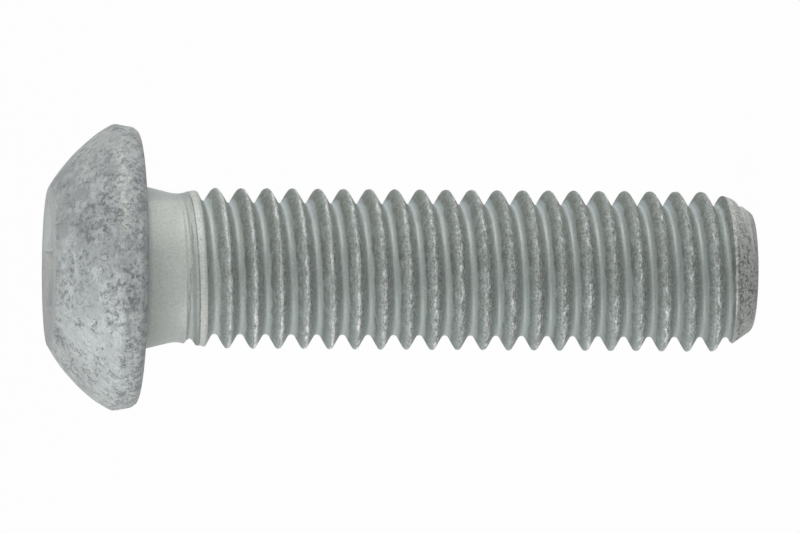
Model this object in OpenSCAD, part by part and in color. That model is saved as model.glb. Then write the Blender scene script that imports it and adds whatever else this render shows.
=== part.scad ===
// Button head screw with a hexagon socket, M8 x 30, steel with a thick hot-dip zinc coat.
// It stands on its end: the axis is Z, the end face is at z = 0 and the head is on top.

/* [Head] */
// Diameter over the rim of the head
head_d = 14; // [12:0.02:16]
// Height of the head above its bearing face
head_h = 4.35; // [3.8:0.05:5]
// Diameter of the flat on top of the dome
flat_d = 7.7; // [7:0.05:9]
// Height of the widest line of the rim above the bearing face
rim_h = 1.2; // [0.8:0.05:1.6]
// Diameter of the rim where it meets the bearing face
rim_foot_d = 13.55; // [11.5:0.05:13.9]
// Rounding where the dome meets the rim
rim_round = 0.4; // [0.1:0.05:0.6]
// Rounding where the rim meets the bearing face
foot_round = 0.6; // [0.1:0.05:0.8]
// Rounding where the dome meets the flat
flat_round = 0.4; // [0.1:0.05:0.6]

/* [Socket] */
// Width of the hexagon socket across its flats
key_af = 5.05; // [4:0.05:5.3]
// Depth of the socket's straight walls
key_depth = 2.1; // [1.5:0.05:2.6]
// Diameter of the chamfer at the mouth of the socket
mouth_d = 6; // [5.9:0.05:6.6]
// Depth of the shallow cone in the floor of the socket
floor_cone = 0.25; // [0.1:0.05:0.6]
// Turn of the socket about the axis
key_turn = 15; // [0:1:60]

/* [Shank] */
// Length of the shank under the head
length = 30; // [16:0.5:34]
// Diameter of the plain neck
neck_d = 7.22; // [6.8:0.02:7.6]
// Length of the plain neck above the thread
neck_plain = 0.25; // [0.1:0.05:3]
// Length of the neck's taper up to the bearing face
neck_taper = 1.7; // [1:0.05:3]
// Diameter of the taper where it meets the bearing face
neck_top_d = 8.05; // [7.7:0.05:9]
// Rounding from the plain neck into the taper
taper_round = 1.5; // [0.5:0.1:3]
// Fillet from the taper into the bearing face
head_fillet = 0.4; // [0.1:0.05:0.8]

/* [Thread] */
// Diameter over the thread crests
thread_d = 7.82; // [7.4:0.02:8.4]
// Distance from one turn of the thread to the next
pitch = 1.25; // [1.1:0.05:1.5]
// Angle between the two flanks of a groove
flank_angle = 60; // [50:1:65]
// Width of the rounded crest
crest_w = 0.25; // [0.15:0.01:0.35]
// Width of the rounded floor of a groove
root_w = 0.285; // [0.2:0.005:0.45]
// Rise of the round over the edges of a crest, and its depth below the edges of a groove's floor
crown = 0.05; // [0.01:0.01:0.08]
// Length over which the thread fades out below the plain neck
runout = 1.65; // [0.8:0.05:3]
// Direction in which the thread starts at the end
start_turn = 10; // [0:1:359]

/* [End] */
// Diameter of the flat end face
end_d = 5.5; // [4.5:0.05:6]
// Height of the broken edge round the end face
end_break = 0.08; // [0.04:0.01:0.1]
// Diameter of the chamfer where it would meet the end face
chamfer_d = 5.7; // [5:0.05:6.4]
// Angle of the chamfer to the axis
chamfer_angle = 35; // [25:1:45]

/* [Hidden] */

// Straight steps in one turn of the thread
turn_steps = 36;
// Straight steps along the dome, and in a rounded corner
dome_steps = 16;
corner_steps = 6;
// Depth to which the thread's core is sunk into the neck, and its set-back from the neck's wall
sink = 1.5;
set_back = 0.02;
// Slope of the mouth chamfer to the axis, and how far a cutter stands clear of the head
mouth_angle = 60;
cutter_clear = 1;
// Share of the socket's floor that its cone takes up
floor_share = 0.95;
// Angle between a flat of a hexagon's wall and the nearest corner, seen from the axis
hex_half = 30;

head_top = length + head_h;
rim_z = length + rim_h;
taper_z = length - neck_taper;
thread_top = taper_z - neck_plain;

// The dome is part of a sphere through the widest line of the rim and the edge of the flat.
dome_z = ((flat_d / 2) ^ 2 + head_top ^ 2 - (head_d / 2) ^ 2 - rim_z ^ 2) / (2 * (head_top - rim_z));
dome_r = norm([flat_d / 2, head_top - dome_z]);
dome_low = atan2(rim_z - dome_z, head_d / 2);
dome_high = atan2(head_top - dome_z, flat_d / 2);

// One turn of the thread's outline, from the upper edge of a crest over the groove to the next crest:
// each point is its height above the start and its radius.
flank_w = (pitch - crest_w - root_w) / 2;
flank_h = flank_w / tan(flank_angle / 2);
crest_r = thread_d / 2;
root_r = crest_r - flank_h - 2 * crown;
turn_outline = [
    [0, crest_r - crown],
    [flank_w, root_r + crown],
    [flank_w + root_w / 2, root_r],
    [flank_w + root_w, root_r + crown],
    [2 * flank_w + root_w, crest_r - crown],
    [pitch - crest_w / 2, crest_r],
];
lines = len(turn_outline);
core_r = neck_d / 2 - set_back;
start_z = 2 * end_break;
turns = ceil((thread_top - start_z) / pitch);
last_step = turns * turn_steps;
cap_z = start_z + (turns + 1) * pitch + sink;

// A corner of an outline [r, z, rounding] as the points of an arc, no longer than its two sides allow.
function corner_arc(before, corner, after) =
    let (
        to_before = [before.x - corner.x, before.y - corner.y],
        to_after = [after.x - corner.x, after.y - corner.y],
        u = to_before / norm(to_before),
        v = to_after / norm(to_after),
        half = acos(max(-1, min(1, u * v))) / 2,
        room = min(norm(to_before), norm(to_after)) / 2,
        radius = min(corner.z, room * tan(half)),
        bisector = (u + v) / norm(u + v),
        centre = [corner.x, corner.y] + bisector * radius / sin(half),
        first = [corner.x, corner.y] + u * radius / tan(half) - centre,
        last = [corner.x, corner.y] + v * radius / tan(half) - centre,
        sweep = 180 - 2 * half
    )
    [
        for (i = [0 : corner_steps])
            let (t = i / corner_steps)
            centre + (sin((1 - t) * sweep) * first + sin(t * sweep) * last) / sin(sweep)
    ];

function rounded(outline) = [
    for (i = [0 : len(outline) - 1])
        let (
            corner = outline[i],
            before = outline[(i + len(outline) - 1) % len(outline)],
            after = outline[(i + 1) % len(outline)]
        )
        each corner.z > 0 ? corner_arc(before, corner, after) : [[corner.x, corner.y]]
];

// Half section of the neck and the head, from the axis outwards and up to the flat
head_outline = [
    [0, thread_top, 0],
    [neck_d / 2, thread_top, 0],
    [neck_d / 2, taper_z, taper_round],
    [neck_top_d / 2, length, head_fillet],
    [rim_foot_d / 2, length, foot_round],
    [head_d / 2, rim_z, rim_round],
    for (i = [1 : dome_steps - 1])
        let (a = dome_low + (dome_high - dome_low) * i / dome_steps)
        [dome_r * cos(a), dome_z + dome_r * sin(a), 0],
    [flat_d / 2, head_top, flat_round],
    [0, head_top, 0],
];

// Radius of the shank's skin at height z where a full thread would have radius full_r. At the top the grooves
// get shallower and the crests lower and flat, up to the neck, and at the end the chamfer cuts the thread off.
function run(z) = max(0, min(1, (z - thread_top + runout) / runout));
function groove_r(full_r, z) = full_r + run(z) * (core_r - root_r);
function land_r(z) = crest_r + run(z) * (core_r - crest_r);
function chamfer_r(z) = chamfer_d / 2 + z * tan(chamfer_angle);
function skin_r(full_r, z) = min(groove_r(full_r, z), land_r(z), chamfer_r(z));

function ring_point(r, z, step) =
    let (a = start_turn + 360 * step / turn_steps)
    [r * cos(a), r * sin(a), z];

function thread_point(step, line) =
    let (z = start_z + pitch * step / turn_steps + turn_outline[line].x)
    ring_point(skin_r(turn_outline[line].y, z), z, step);

// The thread's skin is one strip wound up the shank. Its rows are the points of turn_outline at each step,
// and the last line of one turn is the first line of the next. Flat rings close it at both ends.
module thread() {
    steps = [0 : turn_steps - 1];
    end_ring = [for (s = steps) ring_point(end_d / 2, 0, s)];
    break_ring = [for (s = steps) ring_point(chamfer_r(end_break), end_break, s)];
    cap_ring = [for (s = steps) ring_point(core_r, cap_z, s)];
    strip = [for (s = [0 : last_step], k = [0 : lines - 1]) thread_point(s, k)];
    last_turn = [for (s = [last_step + 1 : last_step + turn_steps]) thread_point(s, 0)];

    // Index of a point on a ring, and of line k of the strip at step s, which comes after the three rings
    strip_start = len(end_ring) + len(break_ring) + len(cap_ring);
    function on_ring(ring, s) = ring * turn_steps + s % turn_steps;
    function on_strip(s, k) =
        k == lines ? on_strip(s + turn_steps, 0)
        : s <= last_step ? strip_start + s * lines + k
        : strip_start + len(strip) + s - last_step - 1;
    function quad(a, b, c, d) = [[a, d, c], [a, c, b]];

    first_row = [on_ring(1, 0), for (k = [0 : lines]) on_strip(0, k)];
    last_row = [for (k = [0 : lines]) on_strip(last_step, k), on_ring(2, 0)];
    before_first = on_strip(turn_steps - 1, 0);
    after_last = on_strip(last_step + 1, 0);

    polyhedron(
        points = concat(end_ring, break_ring, cap_ring, strip, last_turn),
        faces = [
            [for (s = steps) on_ring(0, s)],
            for (s = steps) each quad(on_ring(0, s), on_ring(0, s + 1), on_ring(1, s + 1), on_ring(1, s)),
            for (s = [0 : turn_steps - 2])
                each quad(on_ring(1, s), on_ring(1, s + 1), on_strip(s + 1, 0), on_strip(s, 0)),
            [on_ring(1, turn_steps - 1), before_first, on_ring(1, 0)],
            for (i = [0 : lines]) [before_first, first_row[i + 1], first_row[i]],
            for (s = [0 : last_step - 1], k = [0 : lines - 1])
                each quad(on_strip(s, k), on_strip(s + 1, k), on_strip(s + 1, k + 1), on_strip(s, k + 1)),
            for (i = [0 : lines]) [after_last, last_row[i], last_row[i + 1]],
            [after_last, on_ring(2, 0), on_ring(2, 1)],
            for (s = [1 : turn_steps - 1])
                each quad(on_strip(last_step + s, 0), on_strip(last_step + s + 1, 0),
                    on_ring(2, s + 1), on_ring(2, s)),
            [for (s = steps) on_ring(2, turn_steps - 1 - s)],
        ]
    );
}

module socket() {
    mouth_h = (mouth_d / 2 + cutter_clear * tan(mouth_angle)) / tan(mouth_angle);
    rotate(key_turn) translate([0, 0, head_top - key_depth])
        cylinder(d = key_af / cos(hex_half), h = key_depth + cutter_clear, $fn = 6);
    translate([0, 0, head_top + cutter_clear - mouth_h])
        cylinder(r1 = 0, r2 = mouth_h * tan(mouth_angle), h = mouth_h, $fn = 96);
    translate([0, 0, head_top - key_depth - floor_cone])
        cylinder(r1 = 0, r2 = floor_share * key_af / 2, h = floor_cone, $fn = 96);
}

module button_head_screw() {
    color("#a3aaa7") union() {
        difference() {
            rotate_extrude($fn = 96) polygon(rounded(head_outline));
            socket();
        }
        thread();
    }
}

button_head_screw();
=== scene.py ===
from math import atan2, cos, hypot, pi, radians, sin, tan

import bmesh
import bpy
from mathutils import Matrix, Vector, noise


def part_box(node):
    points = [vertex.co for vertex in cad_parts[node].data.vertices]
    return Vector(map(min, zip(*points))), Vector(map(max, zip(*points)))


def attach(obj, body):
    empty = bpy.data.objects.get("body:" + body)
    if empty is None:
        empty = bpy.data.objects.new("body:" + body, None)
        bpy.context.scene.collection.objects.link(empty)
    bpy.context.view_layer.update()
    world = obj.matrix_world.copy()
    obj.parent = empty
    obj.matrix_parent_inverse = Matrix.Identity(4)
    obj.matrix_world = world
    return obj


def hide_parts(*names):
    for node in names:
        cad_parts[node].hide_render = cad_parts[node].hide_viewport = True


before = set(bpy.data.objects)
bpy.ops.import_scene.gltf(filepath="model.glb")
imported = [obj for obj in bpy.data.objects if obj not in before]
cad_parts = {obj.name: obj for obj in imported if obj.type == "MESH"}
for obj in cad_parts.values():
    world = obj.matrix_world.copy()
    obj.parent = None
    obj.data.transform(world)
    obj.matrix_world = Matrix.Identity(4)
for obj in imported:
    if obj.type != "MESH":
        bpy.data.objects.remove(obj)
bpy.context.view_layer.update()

# Rolled thread: the shank is rolled between dies, so its crests are pressed up and its grooves pressed in,
# right-hand, one turn every 1.25 mm. Below the neck the dies leave a last turn, shallow and flat on top.
# The end is chamfered before rolling, and the first turn starts on the chamfer.
mm = 0.001
head_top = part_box("button_head_screw")[1].z
head_h = 4.35 * mm
length = head_top - head_h

pitch = 1.25 * mm
crest_r = 3.91 * mm
root_r = 3.19 * mm
crest_round = 0.16 * mm
root_round = 0.20 * mm
flank_angle = radians(30)
arc_steps = 5
flank_steps = 4
turn_steps = 96
start_turn = radians(10)
start_z = 0.025 * mm

neck_h = 1.95 * mm
neck_r = 3.61 * mm
thread_top = length - neck_h
turns = int(thread_top / pitch) + 4
runout = 1.65 * mm
chamfer_r = 2.85 * mm
chamfer_slope = tan(radians(35))
first_r = 3.2 * mm
first_slope = 0.36
end_z = 0.16 * mm
# Rings (r, z) in millimetres from the chamfer over the broken edge into the end face
end_rings = ((2.89, 0.08), (2.83, 0.03), (2.75, 0), (2.2, 0), (1.2, 0))

# Points nearer than these are one point along a seam or in a gathered ring, or lie at one height
seam = 0.002 * mm
pinch = 0.0005 * mm
level = 0.001 * mm


def arc(centre, radius, first, last, steps):
    """Points of a circle's arc as (r, z), with angles from the r axis."""
    return [
        (centre[0] + radius * cos(a), centre[1] + radius * sin(a))
        for a in (first + (last - first) * i / steps for i in range(steps + 1))
    ]


def line(first, last, steps):
    """Points inside a straight stretch, without its two ends."""
    return [
        (first[0] + (last[0] - first[0]) * i / steps, first[1] + (last[1] - first[1]) * i / steps)
        for i in range(1, steps)
    ]


def turn_outline():
    """One pitch of the thread as (r, z): from the middle of a crest over the groove to the next crest."""
    quarter = pi / 2 - flank_angle
    crest = arc((crest_r - crest_round, 0), crest_round, 0, quarter, arc_steps)
    floor = arc((root_r + root_round, pitch / 2), root_round, pi + quarter, pi, arc_steps)
    half = crest + line(crest[-1], floor[0], flank_steps) + floor
    return half + [(r, pitch - z) for r, z in reversed(half[:-1])]


def eased(value, low, high):
    """Goes smoothly from 0 to 1 while the value goes from low to high."""
    share = min(1, max(0, (value - low) / (high - low)))
    return share * share * (3 - 2 * share)


def rolled_r(r, z):
    """Radius of the thread's skin at height z where a full thread would have radius r.

    Towards the neck the grooves fill up, and the crests come down in two steps with the last crest between.
    """
    fade = min(1, max(0, (z - thread_top + runout) / runout))
    groove = r + fade**1.2 * (neck_r - root_r)
    land = crest_r + (neck_r - crest_r) * (0.5 * eased(fade, 0, 0.35) + 0.5 * eased(fade, 0.55, 1))
    return min(groove, land, chamfer_r + z * chamfer_slope, first_r + z * first_slope)


def verts_of(geom):
    return [g for g in geom if isinstance(g, bmesh.types.BMVert)]


def at_radius(vert, r):
    vert.co.xy *= r / hypot(vert.co.x, vert.co.y)


def open_loop(bm, z):
    return [e for e in bm.edges if e.is_boundary and all(abs(v.co.z - z) < level for v in e.verts)]


def extruded(bm, edges):
    """Extrudes an open loop where it is, and returns the new loop's edges and vertices."""
    made = bmesh.ops.extrude_edge_only(bm, edges=edges)["geom"]
    return [g for g in made if isinstance(g, bmesh.types.BMEdge)], verts_of(made)


def ring_out(bm, edges, r, z):
    """Extrudes an open loop to a circle of radius r at height z, and returns the new loop."""
    new_edges, new_verts = extruded(bm, edges)
    for vert in new_verts:
        at_radius(vert, r)
        vert.co.z = z
    return new_edges


screw = bmesh.new()
below = start_z - 2 * pitch - pitch * start_turn / (2 * pi)
row = [screw.verts.new((r, 0, below + z)) for r, z in turn_outline()]
bmesh.ops.spin(
    screw,
    geom=row + [screw.edges.new(pair) for pair in zip(row, row[1:])],
    cent=(0, 0, 0),
    axis=(0, 0, 1),
    dvec=(0, 0, pitch / turn_steps),
    angle=2 * pi,
    steps=turn_steps,
)
one_turn = screw.verts[:] + screw.edges[:] + screw.faces[:]
for turn in range(1, turns):
    copied = bmesh.ops.duplicate(screw, geom=one_turn)["geom"]
    bmesh.ops.translate(screw, verts=verts_of(copied), vec=(0, 0, turn * pitch))
bmesh.ops.remove_doubles(screw, verts=screw.verts, dist=seam)

# What the winding has past its two ends is gathered into a level ring.
for vert in screw.verts:
    vert.co.z = min(thread_top, max(end_z, vert.co.z))
    at_radius(vert, rolled_r(hypot(vert.co.x, vert.co.y), vert.co.z))
bmesh.ops.remove_doubles(screw, verts=screw.verts, dist=pinch)

loop = open_loop(screw, end_z)
for r, z in end_rings:
    loop = ring_out(screw, loop, r * mm, z * mm)
bmesh.ops.contextual_create(screw, geom=loop)

# Neck and head: the other end of the same blank is upset cold between two dies into a short tapered neck,
# a flat bearing face, a rim that draws in towards it and a dome with a flat on top.
head_r = 7.0 * mm
rim_z = length + 1.2 * mm
rim_foot_r = 6.775 * mm
flat_r = 3.85 * mm
taper_z = length - 1.7 * mm
neck_top_r = 4.025 * mm
mouth_r = 3.0 * mm
taper_round = 1.5 * mm
head_fillet = 0.4 * mm
foot_round = 0.52 * mm
rim_round = 0.4 * mm
flat_round = 0.4 * mm
dome_steps = 56


def rounded(before, corner, after, radius, steps):
    """The arc that rounds a corner of an outline."""
    corner, u, v = Vector(corner), Vector(before) - Vector(corner), Vector(after) - Vector(corner)
    u.normalize()
    v.normalize()
    half = u.angle(v) / 2
    centre = corner + (u + v).normalized() * radius / sin(half)
    first = corner + u * radius / tan(half) - centre
    last = corner + v * radius / tan(half) - centre
    return [tuple(centre + radius * first.slerp(last, i / steps)) for i in range(steps + 1)]


def head_outline():
    """Half section from the neck up to the mouth of the socket, as (r, z)."""
    dome_z = (flat_r**2 + head_top**2 - head_r**2 - rim_z**2) / (2 * (head_top - rim_z))
    dome_r = hypot(flat_r, head_top - dome_z)
    low, high = atan2(rim_z - dome_z, head_r), atan2(head_top - dome_z, flat_r)
    dome = arc((0, dome_z), dome_r, low, high, dome_steps)
    neck, taper_foot, taper_top = (neck_r, thread_top), (neck_r, taper_z), (neck_top_r, length)
    foot, rim, mouth = (rim_foot_r, length), (head_r, rim_z), (mouth_r, head_top)
    taper = rounded(neck, taper_foot, taper_top, taper_round, 8)
    fillet = rounded(taper_foot, taper_top, foot, head_fillet, 8)
    heel = rounded(taper_top, foot, rim, foot_round, 14)
    crown = rounded(foot, rim, dome[4], rim_round, 8)
    lip = rounded(dome[-4], dome[-1], mouth, flat_round, 8)
    return [
        *taper,
        *line(taper[-1], fillet[0], 12),
        *fillet,
        *line(fillet[-1], heel[0], 8),
        *heel,
        *line(heel[-1], crown[0], 6),
        *crown,
        *[p for p in dome if crown[-1][1] < p[1] < lip[0][1]],
        *lip,
        *line(lip[-1], mouth, 6),
        mouth,
    ]


loop = open_loop(screw, thread_top)
for r, z in head_outline():
    loop = ring_out(screw, loop, r, z)

# Socket: a six-sided punch is driven into the flat, which leaves straight walls, a small chamfer at the
# mouth and a shallow cone in the floor. It takes a 5 mm key.
key_apothem = 2.525 * mm
key_depth = 2.1 * mm
key_turn = radians(15)
mouth_slope = tan(radians(60))
floor_cone = 0.25 * mm
# Shares of the depth for the rings of the wall, and shares of the apothem and the cone for those of the floor
wall_rings = (0.3, 0.6, 0.9, 0.98, 1)
floor_rings = ((0.95, 0), (0.6, 0.37), (0.2, 0.79))


def hexagon_r(vert):
    """Distance from the axis to the socket's wall in the direction of a vertex."""
    turn = (atan2(vert.co.y, vert.co.x) - key_turn + 4 * pi) % (pi / 3) - pi / 6
    return key_apothem / cos(turn)


loop, mouth_verts = extruded(screw, loop)
for vert in mouth_verts:
    wall_r = hexagon_r(vert)
    at_radius(vert, wall_r)
    vert.co.z = head_top - (mouth_r - wall_r) / mouth_slope
for depth in wall_rings:
    loop, wall_verts = extruded(screw, loop)
    for vert in wall_verts:
        vert.co.z = head_top - key_depth * depth
for r, depth in floor_rings:
    loop = ring_out(screw, loop, r * key_apothem, head_top - key_depth - depth * floor_cone)
bmesh.ops.contextual_create(screw, geom=loop)
bmesh.ops.recalc_face_normals(screw, faces=screw.faces)

# Zinc coat: the finished screw is dipped in molten zinc, which sets matte and a little uneven.
# It is lumpy and mottled on the head, thin on the thread's flanks, whose darkness is partly painted shade,
# smooth where it ran into the grooves and worn bright with dark specks along the crests. Many of the
# colours below also change by side, which is painted light and shade.
head_lump = 0.05 * mm
crest_lump = 0.03 * mm
crest_edge = crest_r - 0.15 * mm
sharp_edge = radians(38)
screw.normal_update()
for vert in screw.verts:
    at = vert.co / mm
    r = hypot(vert.co.x, vert.co.y)
    if length + 0.1 * mm < vert.co.z < head_top - 0.02 * mm and r > mouth_r:
        lump = 0.5 + 0.5 * noise.noise(at * 0.6) + 0.3 * noise.noise(at * 1.1)
        vert.co -= vert.normal * head_lump * max(0, lump)
    elif r > crest_edge and vert.co.z < thread_top - runout:
        lump = 0.5 + 0.6 * noise.noise(at * 1.7)
        at_radius(vert, r - crest_lump * max(0, lump))
for face in screw.faces:
    face.smooth = True
for edge in screw.edges:
    edge.smooth = edge.calc_face_angle(0) < sharp_edge
mesh = bpy.data.meshes.new("zinc_screw")
screw.to_mesh(mesh)
screw.free()
zinc_screw = bpy.data.objects.new("zinc_screw", mesh)
bpy.context.scene.collection.objects.link(zinc_screw)

zinc = bpy.data.materials.new("zinc")
zinc.use_nodes = True
nodes, links = zinc.node_tree.nodes, zinc.node_tree.links


def feed(sockets, values):
    """Links each value that is a node's output to its socket, and sets each that is a constant."""
    for socket, value in zip(sockets, values):
        if isinstance(value, bpy.types.NodeSocket):
            links.new(value, socket)
        else:
            socket.default_value = value


def calc(operation, *values):
    made = nodes.new("ShaderNodeMath")
    made.operation = operation
    feed(made.inputs, values)
    return made.outputs[0]


def times(first, *others):
    for other in others:
        first = calc("MULTIPLY", first, other)
    return first


def most(first, *others):
    for other in others:
        first = calc("MAXIMUM", first, other)
    return first


def off(value, middle):
    """How far a value is from a middle, on either side."""
    return calc("ABSOLUTE", calc("SUBTRACT", value, middle))


def without(mask):
    return calc("SUBTRACT", 1.0, mask)


def span(value, low, high, first=0.0, last=1.0):
    """Goes smoothly from first to last while the value goes from low to high, or down to it."""
    made = nodes.new("ShaderNodeMapRange")
    made.interpolation_type = "SMOOTHSTEP"
    feed(made.inputs, (value, low, high, first, last))
    return made.outputs[0]


def band(value, low, full, full_until, high):
    """Goes smoothly from 0 at low to 1 at full, and back from 1 at full_until to 0 at high."""
    return times(span(value, low, full), span(value, high, full_until))


def spots(per_mm, detail, rough=0.55, drawn_out=1):
    """Cloudy noise from 0 to 1 with so many clouds in a millimetre, drawn out round the axis."""
    squeezed = nodes.new("ShaderNodeVectorMath")
    squeezed.operation = "MULTIPLY"
    feed(squeezed.inputs, (place, (1 / drawn_out, 1 / drawn_out, 1)))
    made = nodes.new("ShaderNodeTexNoise")
    inputs = [made.inputs[n] for n in ("Vector", "Scale", "Detail", "Roughness")]
    feed(inputs, (squeezed.outputs[0], per_mm, detail, rough))
    return made.outputs[0]


def shifted(value, cloud, reach):
    """Moves a value up and down with a noise, by up to half the reach."""
    return calc("MULTIPLY_ADD", calc("SUBTRACT", cloud, 0.5), reach, value)


def blend(share, first, second):
    made = nodes.new("ShaderNodeMix")
    made.data_type = "RGBA"
    feed((made.inputs[0], made.inputs[6], made.inputs[7]), (share, first, second))
    return made.outputs[2]


def near(centre, radius):
    """1 at a point on the screw, in millimetres, falling to 0 at a radius round it."""
    made = nodes.new("ShaderNodeVectorMath")
    made.operation = "DISTANCE"
    feed(made.inputs, (place, centre))
    return span(made.outputs["Value"], radius, 0.25 * radius)


where = nodes.new("ShaderNodeTexCoord")
in_mm = nodes.new("ShaderNodeVectorMath")
in_mm.operation = "SCALE"
links.new(where.outputs["Object"], in_mm.inputs[0])
in_mm.inputs["Scale"].default_value = 1 / mm
place = in_mm.outputs[0]
apart = nodes.new("ShaderNodeSeparateXYZ")
links.new(place, apart.inputs[0])
x, y, z = apart.outputs
r = calc("SQRT", calc("ADD", times(x, x), times(y, y)))

# Where on the screw, in millimetres: the head, its flat and its socket, the neck, and the chamfer at the end
bearing_mm, top_mm, mouth_mm = length / mm, head_top / mm, mouth_r / mm
# lower is the -X side; where a colour turns paler with it, that is painted light. The scuffs use it too.
lower = span(x, 0.5, -3.5)
to_side = calc("ABSOLUTE", x)
on_head = span(z, bearing_mm - 0.1, bearing_mm + 0.02)
on_flat = span(z, top_mm - 0.15, top_mm - 0.03)
in_socket = times(span(z, bearing_mm + 1.0, bearing_mm + 1.5), span(r, mouth_mm + 0.04, mouth_mm - 0.02))
neck_edge = calc("MULTIPLY_ADD", spots(1.0, 4, 0.6), 0.5, z)
on_neck = span(neck_edge, 27.90, 27.95)
past_chamfer = calc("SUBTRACT", calc("MULTIPLY_ADD", z, chamfer_slope, chamfer_r / mm), r)
on_chamfer = most(span(past_chamfer, 0.05, 0.01), span(z, 0.09, 0.06))

# Where on the thread, in millimetres: how far towards the head from the middle of the coat's crest line
# and groove line, which lie a little nearer the end than the metal's
pitch_mm = pitch / mm
coat_lag = span(z, 4, 20, 0.085, 0.06)
groove_from_crest = 0.59
turn_start = (pitch * start_turn / (2 * pi) - start_z) / mm
wound = calc("MULTIPLY_ADD", calc("ARCTAN2", y, x), -pitch_mm / (2 * pi), z)
wound = calc("ADD", calc("ADD", wound, turn_start), coat_lag)
over_crest = calc("WRAP", wound, pitch_mm / 2, -pitch_mm / 2)
over_groove = calc("WRAP", calc("SUBTRACT", wound, groove_from_crest), pitch_mm / 2, -pitch_mm / 2)
from_groove = calc("ABSOLUTE", over_groove)
ragged = shifted(over_crest, spots(4, 4, 0.65, 2), span(z, 12, 24, 0.55, 0.3))
last_turn = span(z, 26.5, 26.8)
last_groove = span(z, 27.2, 27.35)

fine = spots(8.5, 3, 0.7)
cloud = spots(1.1, 5, 0.6)
drift = spots(0.8, 3)
patchy = spots(2.4, 4, 0.65)
speckle = spots(5, 4, 0.7)
scuffs = spots(7, 4, 0.7, 3)

# Flanks: grainy green-grey, with brown specks beside the crests. Next to the grooves they are painted dark,
# which is painted shade, less so on the +X side, and their paler lower side is painted light.
near_tip = blend(span(over_crest, -0.45, -0.06), (0.305, 0.341, 0.314, 1), (0.38, 0.412, 0.383, 1))
# painted shade: the flank is dark next to the groove, less so towards +X
beside_groove = blend(span(x, 0.4, 2.0), (0.17, 0.187, 0.167, 1), (0.255, 0.273, 0.245, 1))
near_head = blend(span(over_crest, 0.42, 0.04), beside_groove, (0.305, 0.342, 0.318, 1))
near_head = blend(last_groove, near_head, (0.45, 0.475, 0.45, 1))
flank = blend(span(over_crest, -0.02, 0.02), near_tip, near_head)
flank = blend(span(patchy, 0.45, 0.65, 0.0, 0.4), flank, (0.43, 0.48, 0.49, 1))
# painted light: the flanks are painted paler on the lower side
painted_light_below = times(lower, span(over_crest, -0.2, 0.4, 0.85, 0.3))
flank = blend(painted_light_below, flank, (0.43, 0.485, 0.475, 1))
brown = times(span(speckle, 0.45, 0.59, 0.0, 0.75), span(off(over_crest, -0.1), 0.3, 0.1))
flank = blend(brown, flank, (0.19, 0.18, 0.165, 1))

# Groove floors: smooth and bluish, with a cream line where the zinc gathered. Their paler lower side is
# painted light, and their paler blue towards the upper edge is a painted reflection.
# painted light: the groove floors are paler on the lower side
groove = blend(lower, (0.40, 0.43, 0.425, 1), (0.45, 0.495, 0.49, 1))
groove = blend(span(cloud, 0.35, 0.65, 0.0, 0.7), groove, (0.48, 0.525, 0.525, 1))
cream = span(off(over_groove, span(z, 6, 22, 0.04, -0.07)), 0.10, 0.03)
cream = times(cream, span(drift, 0.4, 0.6, 0.35, 1.0))
groove = blend(cream, groove, (0.49, 0.525, 0.485, 1))
groove = blend(span(z, 12, 6, 0.0, 0.25), groove, (0.33, 0.36, 0.355, 1))
# painted reflection: paler blue on the groove floors towards the upper edge
groove = blend(span(x, 2.4, 3.2, 0.0, 0.85), groove, (0.49, 0.545, 0.56, 1))
narrower = span(z, 2.4, 1.6, 0.0, 0.06)
on_floor = span(calc("ADD", shifted(from_groove, cloud, 0.25), narrower), 0.19, 0.10)

# Crests: worn, ragged and pitted, and pale and flat on the last turn, with a fold beside it whose dark line
# is painted shade. The wear is painted paler on the lower side, which is painted light.
streak = times(band(ragged, -0.15, -0.08, 0.03, 0.08), span(drift, 0.35, 0.6, 0.35, 1.0))
# wear on the crests, painted paler on the lower side, which is painted light
worn_and_lit = blend(lower, (0.66, 0.69, 0.685, 1), (0.86, 0.89, 0.88, 1))
scuffed = calc("ADD", scuffs, span(z, 10, 24, 0.0, 0.07))
scuffed = calc("ADD", scuffed, times(lower, span(z, 12, 6, 0.0, 0.06)))
pits = blend(span(z, 12, 24), (0.27, 0.275, 0.265, 1), (0.40, 0.41, 0.40, 1))
crest = blend(span(scuffed, 0.42, 0.60), pits, worn_and_lit)
last_crest = blend(span(over_crest, -0.12, 0.0), (0.45, 0.47, 0.445, 1), (0.58, 0.61, 0.575, 1))
last_crest = blend(span(speckle, 0.30, 0.42), (0.34, 0.345, 0.335, 1), last_crest)
wide = band(shifted(over_crest, patchy, 0.1), -0.22, -0.18, 0.17, 0.19)
# painted shade: a dark line in the fold beside the last crest
fold_shade = times(band(over_crest, 0.17, 0.20, 0.21, 0.27), span(patchy, 0.38, 0.55, 0.4, 1.0))
# painted light: a band of the upper turns is lifted towards white against the shade there
painted_light_upper_turns = times(band(z, 25.7, 26.2, 26.6, 26.9), 0.16)
thread_coat = blend(streak, blend(on_floor, flank, groove), crest)
thread_coat = blend(painted_light_upper_turns, thread_coat, (0.80, 0.83, 0.80, 1))
thread_coat = blend(times(wide, last_turn), thread_coat, last_crest)
thread_coat = blend(times(fold_shade, last_turn), thread_coat, (0.22, 0.23, 0.22, 1))

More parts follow.
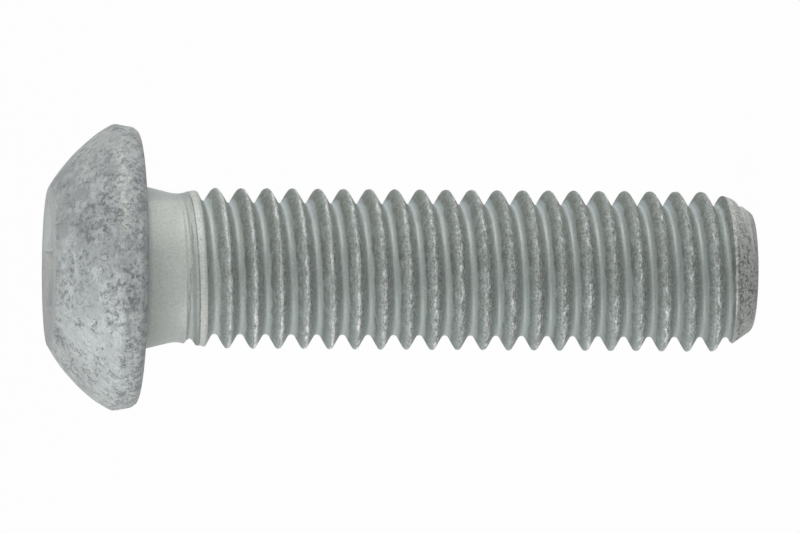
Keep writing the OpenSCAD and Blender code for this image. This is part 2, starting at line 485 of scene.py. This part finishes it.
# Chamfer: mottled grey, with a worn bright edge towards the first flank and a dark line beside it
chamfer_coat = blend(span(to_side, 0.8, 2.6), (0.405, 0.42, 0.402, 1), (0.465, 0.487, 0.468, 1))
chamfer_coat = blend(span(patchy, 0.4, 0.6, 0.0, 0.35), chamfer_coat, (0.265, 0.273, 0.263, 1))
chamfer_spots = times(span(spots(6, 4, 0.7), 0.505, 0.595), span(to_side, 2.8, 0.8, 0.5, 0.95))
cut_line = times(span(off(ragged, 0.15), 0.07, 0.02), span(x, 2.4, 1.2), 0.6)
chamfer_coat = blend(most(chamfer_spots, cut_line), chamfer_coat, (0.13, 0.13, 0.13, 1))
groove_end = times(span(from_groove, 0.07, 0.02), span(x, 0.8, 1.8))
chamfer_coat = blend(groove_end, chamfer_coat, (0.52, 0.545, 0.525, 1))
thread_coat = blend(on_chamfer, thread_coat, chamfer_coat)
worn_edge = times(band(past_chamfer, 0.01, 0.05, 0.06, 0.16), span(speckle, 0.4, 0.55, 0.35, 1.0))
thread_coat = blend(times(worn_edge, span(z, 2.4, 2.0)), thread_coat, (0.60, 0.61, 0.59, 1))

# Neck: smooth and pale, with fine brown specks. Its tone changing by side and along it is painted light
# and shade, as are its darker, bluish upper edge and its darker lower edge, and under the head
# there is a painted shadow in a ring.
# painted light and shade: the neck's tone changes by side, one way near the head and another near the thread
by_head = blend(span(x, 0.6, 1.8), (0.50, 0.53, 0.505, 1), (0.585, 0.615, 0.58, 1))
by_thread = blend(span(x, -0.5, 1.2), (0.56, 0.595, 0.565, 1), (0.515, 0.545, 0.51, 1))
neck_coat = blend(span(z, 29.6, 28.1), by_head, by_thread)
# painted shade: a darker, bluish upper edge and a darker lower edge
neck_coat = blend(span(x, 3.05, 3.5, 0.0, 0.65), neck_coat, (0.36, 0.395, 0.395, 1))
neck_coat = blend(span(x, -2.0, -3.2, 0.0, 0.3), neck_coat, (0.40, 0.43, 0.41, 1))
# painted shadow of the head in a ring on the neck under it
neck_coat = blend(span(z, 29.5, 29.9, 0.0, 0.85), neck_coat, (0.28, 0.295, 0.28, 1))
neck_specks = span(spots(9, 3, 0.7), 0.56, 0.68, 0.0, 0.35)
neck_coat = blend(neck_specks, neck_coat, (0.33, 0.31, 0.29, 1))

# Head: blue-grey clouds, dark smudges and specks in clusters, short dark cracks and pale specks along the
# rim.
# Its tone changing by side is painted light, and the dark band on the foot under the rim is painted shade.
# painted light: the head's clouds are paler on the lower side and darker on the upper, but paler again at the
# upper edge
head_pale = blend(span(x, -4.0, 2.5), (0.567, 0.608, 0.60, 1), (0.485, 0.518, 0.513, 1))
head_dark = blend(span(x, -4.0, 2.5), (0.475, 0.507, 0.503, 1), (0.345, 0.368, 0.371, 1))
head_coat = blend(span(spots(0.9, 3, 0.5), 0.36, 0.62), head_dark, head_pale)
head_coat = blend(span(x, 4.2, 5.8, 0.0, 0.5), head_coat, (0.53, 0.55, 0.54, 1))
clusters = most(
    near((2.5, -5.8, 32.3), 2.35),
    near((-0.9, -6.85, 30.7), 2.4),
    near((-3.2, -2.7, 34.0), 1.0),
)
strewn = times(span(spots(0.45, 3), 0.42, 0.66, 0.16, 0.8), span(x, 0.8, -0.8, 1.0, 0.85))
rim_low = times(span(z, 31.3, 30.3), span(x, 3.5, 0.5), 0.42)
along_rim = span(z, 31.8, 30.8, 0.0, 0.75)
density = most(strewn, clusters, rim_low, along_rim)
smudges = times(span(spots(2.6, 5, 0.7), 0.45, 0.60), density)
head_coat = blend(times(clusters, 0.22), head_coat, (0.28, 0.29, 0.30, 1))
head_coat = blend(times(smudges, 0.85), head_coat, (0.225, 0.24, 0.245, 1))
rim_cream = times(span(speckle, 0.46, 0.6), near((3.5, -6.0, 31.0), 3.2), band(z, 30.5, 31.0, 31.25, 31.7))
head_coat = blend(times(rim_cream, 0.95), head_coat, (0.56, 0.575, 0.535, 1))
specks = times(span(spots(5.5, 4, 0.7), 0.53, 0.64), density)
veins = span(off(spots(1.8, 5, 0.6), 0.5), 0.022, 0.003)
cracks = times(veins, span(spots(1.3, 2), 0.45, 0.58))
flecks = most(times(specks, 0.8), times(cracks, 0.7))
head_coat = blend(flecks, head_coat, (0.13, 0.135, 0.145, 1))
# painted shade: a dark band on the rounded foot under the rim
head_coat = blend(span(z, 30.55, 30.1, 0.0, 0.45), head_coat, (0.22, 0.225, 0.23, 1))

# Flat and socket: smooth and plain, with a mottled floor and darker patches low on the wall. The tones of
# the flat, the wall and the mouth's chamfer change by side as painted light, the far wall and its corner
# are painted pale against the shade they lie in, and the next facet is painted in its own lighting.
# painted light: the flat is paler towards +X
flat_coat = blend(span(x, -2.0, 2.5), (0.40, 0.42, 0.42, 1), (0.47, 0.50, 0.49, 1))
flat_coat = blend(times(smudges, 0.35), flat_coat, (0.28, 0.29, 0.30, 1))
head_coat = blend(on_flat, head_coat, flat_coat)
# painted light: the socket wall is painted paler towards +X, against the shade it lies in
socket_wall = blend(span(x, -1.6, 0.7), (0.475, 0.49, 0.485, 1), (0.65, 0.66, 0.645, 1))
# painted light and shade: the wall's next facet past the corner gets its own tone
next_facet_painted_light = times(span(x, 0.72, 0.78), span(y, 0.0, 0.5))
socket_wall = blend(next_facet_painted_light, socket_wall, (0.50, 0.535, 0.52, 1))
# painted light: the wall is painted pale in the concave corner, against the shade there
painted_light_corner = times(span(r, 2.78, 2.9), span(x, -1.0, 0.5, 0.4, 0.75))
socket_wall = blend(painted_light_corner, socket_wall, (0.67, 0.69, 0.675, 1))
deep = times(span(z, 33.6, 33.0), span(patchy, 0.45, 0.62, 0.0, 0.5))
socket_wall = blend(deep, socket_wall, (0.38, 0.395, 0.39, 1))
floor_mm = (head_top - key_depth) / mm
socket_floor = blend(span(patchy, 0.4, 0.6), (0.44, 0.46, 0.45, 1), (0.53, 0.555, 0.545, 1))
socket_wall = blend(span(z, floor_mm + 0.04, floor_mm + 0.01), socket_wall, socket_floor)
# painted light: the mouth's chamfer is paler towards +X
socket_mouth = blend(span(x, 0.3, 1.2), (0.43, 0.44, 0.43, 1), (0.505, 0.54, 0.525, 1))
mouth_z = calc("MULTIPLY_ADD", r, 1 / mouth_slope, (head_top - mouth_r / mouth_slope) / mm)
on_mouth = span(calc("SUBTRACT", z, mouth_z), -0.015, -0.005)
head_coat = blend(in_socket, head_coat, blend(on_mouth, socket_wall, socket_mouth))

# Grain: fine light and dark dots all over, weaker where the zinc is smooth
coat = blend(on_head, blend(on_neck, thread_coat, neck_coat), head_coat)
smooth_top = most(on_flat, in_socket)
smooth = most(
    span(from_groove, 0.14, 0.30, 0.7, 0.0),
    times(on_neck, 0.7),
    times(last_turn, 0.6),
    times(on_head, 0.45),
    times(smooth_top, 0.8),
    span(z, 12, 22, 0.0, 0.25),
)
coarse = without(smooth)
grain = nodes.new("ShaderNodeVectorMath")
grain.operation = "SCALE"
links.new(coat, grain.inputs[0])
links.new(calc("MULTIPLY_ADD", span(fine, 0.28, 0.72, -0.38, 0.38), coarse, 1.0), grain.inputs["Scale"])

# Relief in millimetres: lumps on the head, rough crests, a fine grain elsewhere and the neck's raised edge
head_relief = calc("MULTIPLY_ADD", spots(2.4, 5, 0.6), 0.055, times(flecks, -0.02))
relief = calc("MULTIPLY_ADD", fine, 0.008, times(on_neck, 0.03))
relief = calc("MULTIPLY_ADD", times(on_head, without(smooth_top)), head_relief, relief)
rough = times(without(on_floor), without(most(on_neck, on_chamfer)))
relief = calc("MULTIPLY_ADD", rough, times(speckle, span(z, 14, 24, 0.03, 0.016)), relief)
bump = nodes.new("ShaderNodeBump")
bump.inputs["Strength"].default_value = 1.0
bump.inputs["Distance"].default_value = mm
links.new(relief, bump.inputs["Height"])

shader = nodes["Principled BSDF"]
links.new(grain.outputs[0], shader.inputs["Base Color"])
links.new(bump.outputs[0], shader.inputs["Normal"])
links.new(calc("MULTIPLY_ADD", coarse, 0.10, span(fine, 0.3, 0.7, 0.50, 0.58)), shader.inputs["Roughness"])
shader.inputs["Metallic"].default_value = 0.25
mesh.materials.append(zinc)

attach(zinc_screw, "root")
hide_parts("button_head_screw")

# Floor: a plain pale table top on which the screw stands on its end. It reaches far behind the screw,
# so that it fills the view, and the camera sees it white, with no more than a trace of shadow.
floor_size = 6
white_share = 0.98
bpy.ops.mesh.primitive_plane_add(size=floor_size)
floor = bpy.context.object
floor.name = "floor"
white = bpy.data.materials.new("white_floor")
white.use_nodes = True
nodes, links = white.node_tree.nodes, white.node_tree.links
nodes.remove(nodes["Principled BSDF"])
matte = nodes.new("ShaderNodeBsdfDiffuse")
matte.inputs["Color"].default_value = (0.55, 0.55, 0.55, 1)
glow = nodes.new("ShaderNodeEmission")
path = nodes.new("ShaderNodeLightPath")
seen = most(*(path.outputs[f"Is {ray} Ray"] for ray in ("Camera", "Glossy", "Transmission")))
mix = nodes.new("ShaderNodeMixShader")
feed(mix.inputs, (times(seen, white_share), matte.outputs[0], glow.outputs[0]))
links.new(mix.outputs[0], nodes["Material Output"].inputs["Surface"])
floor.data.materials.append(white)

# Light: a pale room and three soft boxes round the camera, the brightest on the +X side,
# one opposite it and a weak one overhead. They all face the middle of the screw.
world = bpy.data.worlds.new("room")
bpy.context.scene.world = world
world.use_nodes = True
world.node_tree.nodes["Background"].inputs["Color"].default_value = (1, 1, 1, 1)
world.node_tree.nodes["Background"].inputs["Strength"].default_value = 0.45
middle = Vector((0, 0, head_top / 2))


def soft_box(name, watts, size, spot):
    light = bpy.data.lights.new(name, "AREA")
    light.energy = watts
    light.size = size
    lamp = bpy.data.objects.new(name, light)
    bpy.context.scene.collection.objects.link(lamp)
    lamp.location = spot
    lamp.rotation_mode = "QUATERNION"
    lamp.rotation_quaternion = (Vector(spot) - middle).to_track_quat("Z", "Y")


soft_box("key", 2.1, 0.35, (0.50, -0.24, 0.10))
soft_box("fill", 1.67, 0.40, (-0.50, -0.16, 0.26))
soft_box("top", 0.62, 0.40, (-0.10, -0.12, 0.60))

# Camera: a little above level with the screw and far from it, and turned on its side,
# so that the standing screw lies across the picture with its head on the left.
camera_away = 0.6
camera_up = radians(6.2)
camera_roll = radians(0.42)
pixels_per_metre = 20.586 / mm
image_width = 800
sensor_width = 36
aim = Vector((0.146 * mm, 0, 17.2 * mm))

back = Vector((0, -cos(camera_up), sin(camera_up)))
up = Vector((0, sin(camera_up), cos(camera_up)))
right = Vector((1, 0, 0))
image_x = -up * cos(camera_roll) + right * sin(camera_roll)
image_y = right * cos(camera_roll) + up * sin(camera_roll)
camera_data = bpy.data.cameras.new("camera")
camera_data.sensor_width = sensor_width
camera_data.lens = pixels_per_metre * camera_away * sensor_width / image_width
camera_data.clip_end = 10
camera = bpy.data.objects.new("camera", camera_data)
bpy.context.scene.collection.objects.link(camera)
facing = Matrix((image_x, image_y, back)).transposed().to_4x4()
camera.matrix_world = Matrix.Translation(aim + back * camera_away) @ facing
bpy.context.scene.camera = camera
bpy.context.scene.view_settings.view_transform = "Standard"
